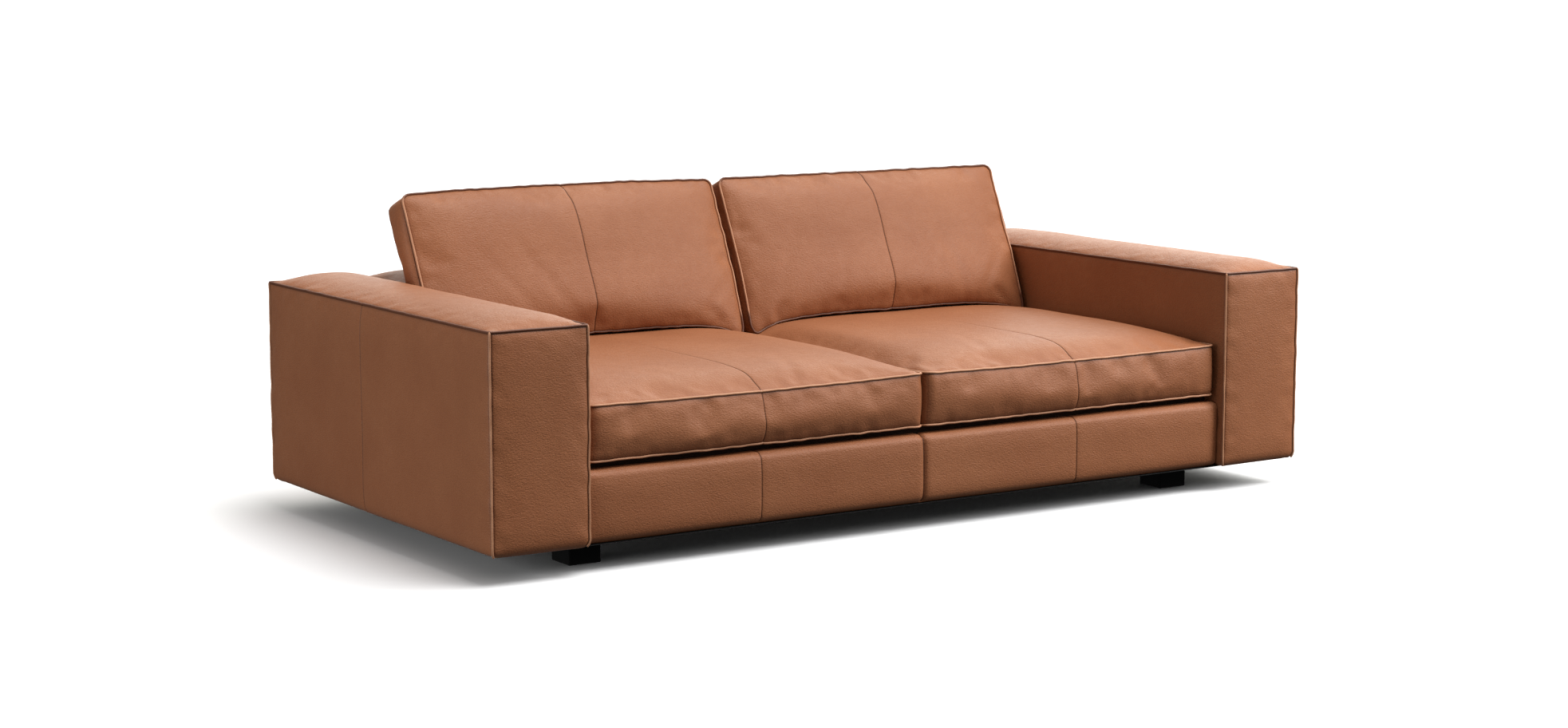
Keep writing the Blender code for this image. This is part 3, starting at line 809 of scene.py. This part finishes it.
def dust_sheet():
    """The black sheet stapled tight under the frame, which sags a little between the rails."""
    low, high = cad_box("dust_cover")
    size = high - low
    xs, ys = (np.linspace(low[a], high[a], round(size[a] / DUST_STEP) + 1) for a in (X, Y))
    grid_x, grid_y = np.meshgrid(xs, ys, indexing="ij")
    flat = np.stack([grid_x.ravel(), grid_y.ravel(), np.full(grid_x.size, high[Z])], 1)
    across = np.minimum(flat[:, X] - low[X], high[X] - flat[:, X])
    along = np.minimum(flat[:, Y] - low[Y], high[Y] - flat[:, Y])
    free = swell(across - DUST_HEM, DUST_SAG_REACH) * swell(along - DUST_HEM, DUST_SAG_REACH)
    feet = [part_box(f"foot_{end}_{word}") for end in ("front", "rear") for _, word in SIDES]
    for foot_low, foot_high in feet:
        middle = (foot_low + foot_high) / 2
        away = np.hypot(flat[:, X] - middle.x, flat[:, Y] - middle.y)
        free *= 1 - hump(away, DUST_HELD)
    flat[:, Z] -= DUST_SAG * free * (1 + DUST_WAVE * ripple(flat, DUST_WAVE_LENGTH, 61))
    index = np.arange(len(flat)).reshape(grid_x.shape)
    corners = (index[:-1, :-1], index[1:, :-1], index[1:, 1:], index[:-1, 1:])
    quads = np.stack(corners, -1).reshape(-1, 4)
    obj = mesh_object("dust_sheet", flat, quads.tolist(), DUST_CLOTH, "frame")
    thick = obj.modifiers.new("Thickness", "SOLIDIFY")
    thick.thickness = DUST_THICKNESS
    thick.offset = -1.0
    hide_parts("dust_cover")
    staples = staple_row(low, high)


# The faces of a box whose points are the lower four, then the upper four.
BOX_FACES = (
    (3, 2, 1, 0),
    (4, 5, 6, 7),
    (0, 1, 5, 4),
    (1, 2, 6, 5),
    (2, 3, 7, 6),
    (3, 0, 4, 7),
)


def boxes_mesh(name, middles, halves, material, body):
    """One piece of many small boxes, each given by its middle and its half sizes."""
    signs = [(-1, -1), (1, -1), (1, 1), (-1, 1)]
    points, faces = [], []
    for middle, half in zip(middles, halves):
        faces += [[len(points) + corner for corner in face] for face in BOX_FACES]
        for up in (-1, 1):
            points += [np.array(middle) + np.array((sx, sy, up)) * half for sx, sy in signs]
    obj = mesh_object(name, np.array(points), faces, material, body)
    obj.data.shade_flat()
    return obj


def staple_row(low, high):
    """Staples round the edge of the dust sheet."""
    middles, halves = [], []
    z = low[Z] - STAPLE_PROUD
    inset = DUST_HEM / 2
    for axis, other in ((X, Y), (Y, X)):
        first, last = low[axis] + STAPLE_MARGIN, high[axis] - STAPLE_MARGIN
        places = np.linspace(first, last, round((last - first) / STAPLE_PITCH) + 1)
        for edge in (low[other] + inset, high[other] - inset):
            for place in places:
                middle, half = np.array((0.0, 0.0, z)), np.array(STAPLE_WIRE)
                middle[axis], middle[other] = place, edge
                half[axis] = STAPLE_HALF
                middles.append(middle)
                halves.append(half)
    return boxes_mesh("dust_sheet_staples", middles, halves, STEEL, "frame")


# ------------ loose cushions


def zip_fastener(name, body):
    """A coil zip in its tape: two rows of teeth, a slider and its pull."""
    low, high = cad_box(f"{name}_zip")
    middle = (low + high) / 2
    rear = high[Y] + ZIP_PROUD
    tape_half = np.array(((high[X] - low[X]) / 2, ZIP_TAPE_THICKNESS / 2, (high[Z] - low[Z]) / 2))
    tape_middle = np.array((middle[X], rear, middle[Z]))
    tape = boxes_mesh(f"{name}_zip_tape", [tape_middle], [tape_half], ZIP_TAPE, body)
    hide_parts(f"{name}_zip")
    count = round(2 * tape_half[X] / ZIP_PITCH)
    teeth = []
    for number in range(count):
        x = low[X] + (number + 0.5) * ZIP_PITCH
        z = middle[Z] + (TOOTH_OFFSET if number % 2 else -TOOTH_OFFSET)
        teeth.append((x, rear + ZIP_TAPE_THICKNESS / 2 + TOOTH_PROUD, z))
    tooth = np.array((ZIP_PITCH * TOOTH_WIDTH, TOOTH_HALF_DEPTH, TOOTH_HALF_HEIGHT))
    boxes_mesh(f"{name}_zip_teeth", teeth, [tooth] * count, ZIP_TAPE, body)
    slider_x = low[X] + SLIDER_INSET
    pull = (slider_x + PULL_OFFSET[X], rear + PULL_OFFSET[Y], middle[Z] + PULL_OFFSET[Z])
    slider = [(slider_x, rear + SLIDER_PROUD, middle[Z]), pull]
    halves = [np.array(SLIDER_HALF), np.array(PULL_HALF)]
    boxes_mesh(f"{name}_zip_slider", slider, halves, STEEL, body)


def swollen(skin, points, held):
    """How far each point moves when the form is blown up like a leather bag with short seams."""
    mesh = bpy.data.meshes.new("bag")
    mesh.from_pydata(points.tolist(), [], skin.quads.tolist())
    bag = placed("bag", mesh)
    sewn = np.unique(np.concatenate([skin.rim(Z, LOW), skin.rim(Z, HIGH)]))
    for name, members in (("sewn", sewn), ("held", np.flatnonzero(held))):
        bag.vertex_groups.new(name=name).add(members.tolist(), 1.0, "REPLACE")
    cloth = bag.modifiers.new("Cloth", "CLOTH")
    settings = cloth.settings
    settings.mass = CLOTH_MASS
    settings.bending_stiffness = CLOTH_STIFFNESS
    settings.use_pressure = True
    settings.uniform_pressure_force = PRESSURE
    settings.effector_weights.gravity = 0.0
    settings.vertex_group_mass = "held"
    settings.vertex_group_shrink = "sewn"
    settings.shrink_max = SEAM_SHRINK
    cloth.point_cache.frame_end = CLOTH_FRAMES
    for number in range(1, CLOTH_FRAMES + 1):
        bpy.context.scene.frame_set(number)
    blown = bag.evaluated_get(bpy.context.evaluated_depsgraph_get()).data
    after = np.empty(len(points) * 3, np.float32)
    blown.vertices.foreach_get("co", after)
    bpy.data.objects.remove(bag)
    bpy.context.scene.frame_set(1)
    moves = after.reshape(-1, 3) - points
    length = np.linalg.norm(moves, axis=1, keepdims=True) + 1e-9
    return moves * (CLOTH_LIMIT * np.tanh(length / CLOTH_LIMIT) / length)


def fold_field(skin, folds):
    """Soft folds in the upper panel, each from one place to another, in shares of the panel."""
    size = (skin.high - skin.low)[:2]
    flat = skin.points[:, :2] - skin.low[:2]
    field = np.zeros(len(flat))
    for start, end, width, depth in folds:
        start, end = np.array(start) * size, np.array(end) * size
        run = end - start
        along = np.clip((flat - start) @ run / (run @ run), 0, 1)
        distance = np.linalg.norm(flat - (start + along[:, None] * run), axis=1)
        fade = np.sin(math.pi * (0.12 + 0.76 * along))
        field -= depth * fade * hump(distance, width)
        field += FOLD_RIM * depth * fade * hump(distance - FOLD_RIM_PLACE * width, width)
    return field * skin.on(Z, HIGH)


def cushion(name, size, shape, place, held, radii, fade, folds, limit, finish, seed):
    """A boxed cushion with two piped rims and a seam across the middle of its length.

    size is its length, width and thickness before it is filled. shape swells a flat skin, place
    takes it to where it lies, held picks the points that rest on something, and limit keeps it
    clear of its neighbours. fade tells how much of the middle seam shows on the upper panel.
    """
    corner, upper, lower = radii

    even = [np.linspace(0.0, length, round(length / CLOTH_STEP) + 1) for length in size]
    coarse = Skin(*even)
    flat = place(shape(coarse, rounded(coarse, corner, upper, lower)))
    moves = swollen(coarse, flat, held(coarse))
    grid = np.zeros(coarse.index.shape + (3,))
    grid[tuple(coarse.cells.T)] = moves

    seam = size[X] / 2
    skin = box_skin((0.0, 0.0, 0.0), size, CUSHION_STEP, upper, [seam])
    local = shape(skin, rounded(skin, corner, upper, lower))
    local[:, Z] += fold_field(skin, folds)
    points = place(local)
    cells = skin.points / np.array(size) * (np.array(coarse.index.shape) - 1)
    points = limit(points + read_grid(grid, cells))

    rim = np.minimum(skin.depth[:, X], skin.depth[:, Y])
    flat_side = skin.on(Z, HIGH) | skin.on(Z, LOW)
    piped = np.where(flat_side, rim, skin.depth[:, Z])
    on_borders = skin.on(Y, LOW) | skin.on(Y, HIGH)
    shown = np.where(skin.on(Z, HIGH), fade(skin.points[:, Y] / size[Y]), on_borders)
    points, crease_shade = finish_surface(skin, points, [(X, seam, shown)], piped, seed)
    body = f"{name}_cushion"
    replaced = (f"{name}_cover", f"{name}_core")
    obj = leather_object(f"{name}_leather", skin, points, crease_shade, body, replaced)
    pipe_edges(f"{name}_cushion", skin, points, body, [(Z, HIGH), (Z, LOW)], rim_finish=finish)
    zip_fastener(name, body)
    return obj


# Each fold runs from a place to a place, in shares of the panel, and has a width and a depth.
SEAT_FOLDS = {
    "left": (
        ((0.62, 0.04), (0.72, 0.30), 0.016, 0.0022),
        ((0.30, 0.10), (0.16, 0.42), 0.018, 0.0016),
    ),
    "right": (
        ((0.25, 0.05), (0.34, 0.34), 0.018, 0.0020),
        ((0.74, 0.08), (0.86, 0.38), 0.016, 0.0016),
    ),
}
BACK_FOLDS = {
    "left": (
        ((0.28, 0.66), (0.44, 0.12), 0.016, 0.0015),
        ((0.17, 0.60), (0.32, 0.16), 0.015, 0.0013),
        ((0.68, 0.70), (0.62, 0.25), 0.018, 0.0011),
        ((0.97, 0.30), (0.86, 0.10), 0.014, 0.0015),
    ),
    "right": (
        ((0.20, 0.60), (0.10, 0.16), 0.016, 0.0015),
        ((0.36, 0.50), (0.30, 0.10), 0.015, 0.0013),
        ((0.70, 0.62), (0.76, 0.14), 0.017, 0.0014),
        ((0.94, 0.40), (0.84, 0.12), 0.014, 0.0017),
    ),
}


def seat_cushion(side, word):
    """A seat cushion, crowned on top and flat below."""
    name = f"{word}_seat"
    low, high = cad_box(f"{name}_cover")
    low[X] += SEAT_SHIFT[word][0]
    high[X] += SEAT_SHIFT[word][1]
    size = (high[X] - low[X], high[Y] - low[Y], SEAT_SEAM_ABOVE)
    most = low[Z] + SEAT_SEAM_ABOVE + SEAT_CROWN_MOST

    def shape(skin, points):
        points[:, Z] += skin.bulge(Z, HIGH, SEAT_CROWN, SEAT_CROWN_REACH)
        points[:, Y] -= skin.bulge(Y, LOW, SEAT_BORDER_BULGE, SEAT_BORDER_REACH)
        upright = skin.points * (1.0, 0.0, 0.25)
        pucker = ripple(upright, SEAT_PUCKER_LENGTH, 70 + side)
        points[:, Y] -= skin.bulge(Y, LOW, SEAT_PUCKER, SEAT_PUCKER_REACH) * pucker
        lower_share = np.clip(1 - skin.points[:, Z] / (size[Z] / 2), 0, 1)
        drawn = SEAT_LIP * hump(skin.points[:, Y], SEAT_LIP_WIDTH) * lower_share
        points[:, Z] += drawn
        points[:, Y] += drawn
        return points

    def limit(points):
        points = points.copy()
        points[:, X] = np.clip(points[:, X], low[X] - SEAT_SPARE[0], high[X] + SEAT_SPARE[1])
        points[:, Y] = np.minimum(points[:, Y], high[Y] + SEAT_REAR_SPARE)
        over = np.maximum(points[:, Z] - (most - SEAT_SQUASH), 0.0)
        points[:, Z] += SEAT_SQUASH * np.tanh(over / SEAT_SQUASH) - over
        points[:, Z] = np.maximum(points[:, Z], low[Z])
        return points

    def fade(share):
        run = SEAM_FADE - SEAM_FADE_START
        return 1 - SEAM_FADED * np.clip((share - SEAM_FADE_START) / run, 0, 1)

    return cushion(
        name,
        size,
        shape,
        lambda points: points + low,
        lambda skin: skin.on(Z, LOW),
        (SEAT_CORNER, SEAM_RADIUS, SEAM_RADIUS),
        fade,
        SEAT_FOLDS[word],
        limit,
        PIPING,
        40 + side,
    )


def upper_surface(obj):
    """A function that gives the height of a cushion's upper side at any place over it."""
    points = [vertex.co for vertex in obj.data.vertices]
    tree = BVHTree.FromPolygons(points, [face.vertices for face in obj.data.polygons])
    flat = np.array(points)[:, :2]
    low, high = flat.min(axis=0) + SURFACE_INSET, flat.max(axis=0) - SURFACE_INSET
    down = Vector((0, 0, -1))

    def height(places):
        inside = np.clip(places[:, :2], low, high).tolist()
        return np.array([tree.ray_cast(Vector((x, y, 1.0)), down)[0].z for x, y in inside])

    return height


def back_cushion(side, word, seat):
    """A back cushion that stands on its seat, leans on the back and bends over its top."""
    name = f"{word}_back"
    seat_height = upper_surface(seat)
    outer = LOW if side < 0 else HIGH
    inner = HIGH if side < 0 else LOW
    low, high = cad_box(f"{name}_cover")
    rear_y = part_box("back_cover")[0].y - CUSHION_GAP
    knee_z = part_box("back_cover")[1].z + KNEE_ABOVE_BACK
    front_y = rear_y - BACK_CUSHION_FOOT
    top = BACK_CUSHION_TOP[word]
    rise = top - low[Z]
    top_y = front_y + rise * math.tan(BACK_CUSHION_LEAN)
    height = rise / math.cos(BACK_CUSHION_LEAN)
    through = BACK_CUSHION_THICKNESS
    back_y = top_y + through * math.cos(BACK_CUSHION_LEAN)
    top_rear = (back_y, top - through * math.sin(BACK_CUSHION_LEAN))
    size = (high[X] - low[X], height, through)

    below = (rear_y, 2 * low[Z] - knee_z)
    beyond = (2 * top_rear[0] - rear_y, 2 * top_rear[1] - knee_z)
    rear_line = np.array([below, (rear_y, low[Z]), (rear_y, knee_z), top_rear, beyond])
    runs = np.hypot(*np.diff(rear_line, axis=0).T)
    marks = np.concatenate([[0.0], np.cumsum(runs)])
    marks = (marks - marks[1]) / (marks[3] - marks[1])

    def rear(share):
        spread = [share - KNEE_SOFT, share, share + KNEE_SOFT]
        y, z = (sum(np.interp(s, marks, rear_line[:, i]) for s in spread) / 3 for i in (0, 1))
        return np.stack([y, z], 1)

    def shape(skin, points):
        points[:, Z] += skin.bulge(Z, HIGH, BACK_CUSHION_CROWN)
        points[:, X] += side * skin.bulge(X, outer, BACK_CUSHION_SIDE)
        points[:, X] -= side * skin.bulge(X, inner, BACK_CUSHION_INNER_SIDE)
        return points

    def place(points):
        share = points[:, Y] / height
        front = np.stack([front_y + (top_y - front_y) * share, low[Z] + rise * share], 1)
        depth = 1 - points[:, Z] / through
        section = front + (rear(share) - front) * depth[:, None]
        slip = BACK_CUSHION_SLIP * np.clip(1 - share, 0, 1)
        stood = np.stack([points[:, X] + low[X] + slip, section[:, 0], section[:, 1]], 1)
        settled = np.clip(1 - share / SAG_SHARE, 0, 1) ** 2
        sag = (low[Z] - seat_height(stood) - CONTACT) * settled
        across = np.minimum(points[:, X], size[X] - points[:, X])
        off_middle = 1 - swell(across, size[X] / 2)
        droop = BACK_CUSHION_DROOP[word] * off_middle * np.clip(share, 0, 1) ** 2
        stood[:, Z] -= sag + droop
        return stood

    def limit(points):
        points = points.copy()
        spare = BACK_CUSHION_SPARE[word]
        points[:, X] = np.clip(points[:, X], low[X] - spare[0], high[X] + spare[1])
        leaning = points[:, Z] < knee_z
        pressed = np.minimum(points[:, Y], rear_y + BACK_CUSHION_REAR_SPARE)
        points[:, Y] = np.where(leaning, pressed, points[:, Y])
        points[:, Z] = np.maximum(points[:, Z], seat_height(points) + CONTACT)
        return points

    cushion(
        name,
        size,
        shape,
        place,
        lambda skin: skin.on(Z, LOW) & (skin.points[:, Y] < height * HELD_SHARE),
        (BACK_CUSHION_CORNER, SEAM_RADIUS, BACK_CUSHION_REAR_RADIUS),
        np.ones_like,
        BACK_FOLDS[word],
        limit,
        BACK_PIPING,
        50 + side,
    )


# ------------ scene


def camera():
    """The camera, on the left in front and a little above the arms."""
    data = bpy.data.cameras.new("camera")
    data.lens = CAMERA_LENS
    data.sensor_width = 36.0
    data.clip_end = 1000.0
    obj = placed("camera", data)
    obj.location = CAMERA_PLACE
    obj.rotation_euler = CAMERA_TURN
    bpy.context.scene.camera = obj


def area_light(name, place, aim, size, power):
    """A soft square light that faces a point."""
    data = bpy.data.lights.new(name, "AREA")
    data.shape = "SQUARE"
    data.size = size
    data.energy = power
    obj = placed(name, data)
    obj.location = place
    obj.rotation_euler = (Vector(aim) - Vector(place)).to_track_quat("-Z", "Y").to_euler()


def soft_sun(name, direction, spread, power):
    """An even light from one direction, with soft shadows. spread is in degrees."""
    data = bpy.data.lights.new(name, "SUN")
    data.energy = power
    data.angle = math.radians(spread)
    obj = placed(name, data)
    obj.rotation_euler = Vector(direction).to_track_quat("Z", "Y").to_euler()


def studio():
    """A white floor in a soft white room, a wide high light, and a fill light at either side."""
    half = FLOOR_SIZE / 2
    corners = [(-half, -half, 0), (half, -half, 0), (half, half, 0), (-half, half, 0)]
    mesh = bpy.data.meshes.new("studio_floor")
    mesh.from_pydata(corners, [], [(0, 1, 2, 3)])
    mesh.materials.append(floor_material())
    floor = placed("studio_floor", mesh)

    floor.visible_diffuse = False
    floor.visible_glossy = False
    bpy.context.scene.world = studio_world()
    bpy.context.scene.view_settings.view_transform = "Standard"
    soft_sun("key", KEY_DIRECTION, KEY_SPREAD, KEY_POWER)
    area_light("right_fill", RIGHT_FILL_PLACE, RIGHT_FILL_AIM, FILL_SIZE, RIGHT_FILL_POWER)
    area_light("left_fill", LEFT_FILL_PLACE, LEFT_FILL_AIM, FILL_SIZE, LEFT_FILL_POWER)


def studio_world():
    """A soft white room: dim all round, lighter overhead, and bright behind the sofa."""
    world = bpy.data.worlds.new("studio")
    nodes = Tree(world)
    direction = nodes.add("ShaderNodeTexCoord").outputs["Generated"]
    split = nodes.add("ShaderNodeSeparateXYZ")
    nodes.feed(direction, split.inputs[0])
    upward = nodes.math("MAXIMUM", split.outputs[Z], 0.0)
    overhead = nodes.math("POWER", upward, WORLD_OVERHEAD_POWER)
    overhead = nodes.math("MULTIPLY", overhead, WORLD_OVERHEAD)
    behind = nodes.add("ShaderNodeVectorMath", operation="DOT_PRODUCT")
    nodes.feed(direction, behind.inputs[0])
    nodes.feed(WORLD_BEHIND_DIRECTION, behind.inputs[1])
    facing = nodes.math("MAXIMUM", behind.outputs["Value"], 0.0)
    facing = nodes.math("POWER", facing, WORLD_BEHIND_POWER)
    facing = nodes.math("MULTIPLY", facing, WORLD_BEHIND)
    above_floor = nodes.ramp(split.outputs[Z], *WORLD_HORIZON, interpolation_type="SMOOTHSTEP")
    around = nodes.tree.nodes["Background"]
    nodes.feed((1.0, 1.0, 1.0, 1.0), around.inputs["Color"])
    nodes.feed(nodes.math("ADD", overhead, WORLD_AROUND), around.inputs["Strength"])
    backdrop = nodes.add("ShaderNodeBackground")
    nodes.feed(WORLD_BEHIND_COLOUR, backdrop.inputs["Color"])
    nodes.feed(nodes.math("MULTIPLY", facing, above_floor), backdrop.inputs["Strength"])
    both = nodes.add("ShaderNodeAddShader")
    nodes.feed(around.outputs[0], both.inputs[0])
    nodes.feed(backdrop.outputs[0], both.inputs[1])
    nodes.feed(both.outputs[0], nodes.tree.nodes["World Output"].inputs["Surface"])
    return world


camera()
studio()
dress_cad_nodes()
deck()
dust_sheet()
back_frame()
front_rail()
for side, word in SIDES:
    arm(side, word)
    seat = seat_cushion(side, word)
    back_cushion(side, word, seat)

bpy.context.view_layer.update()
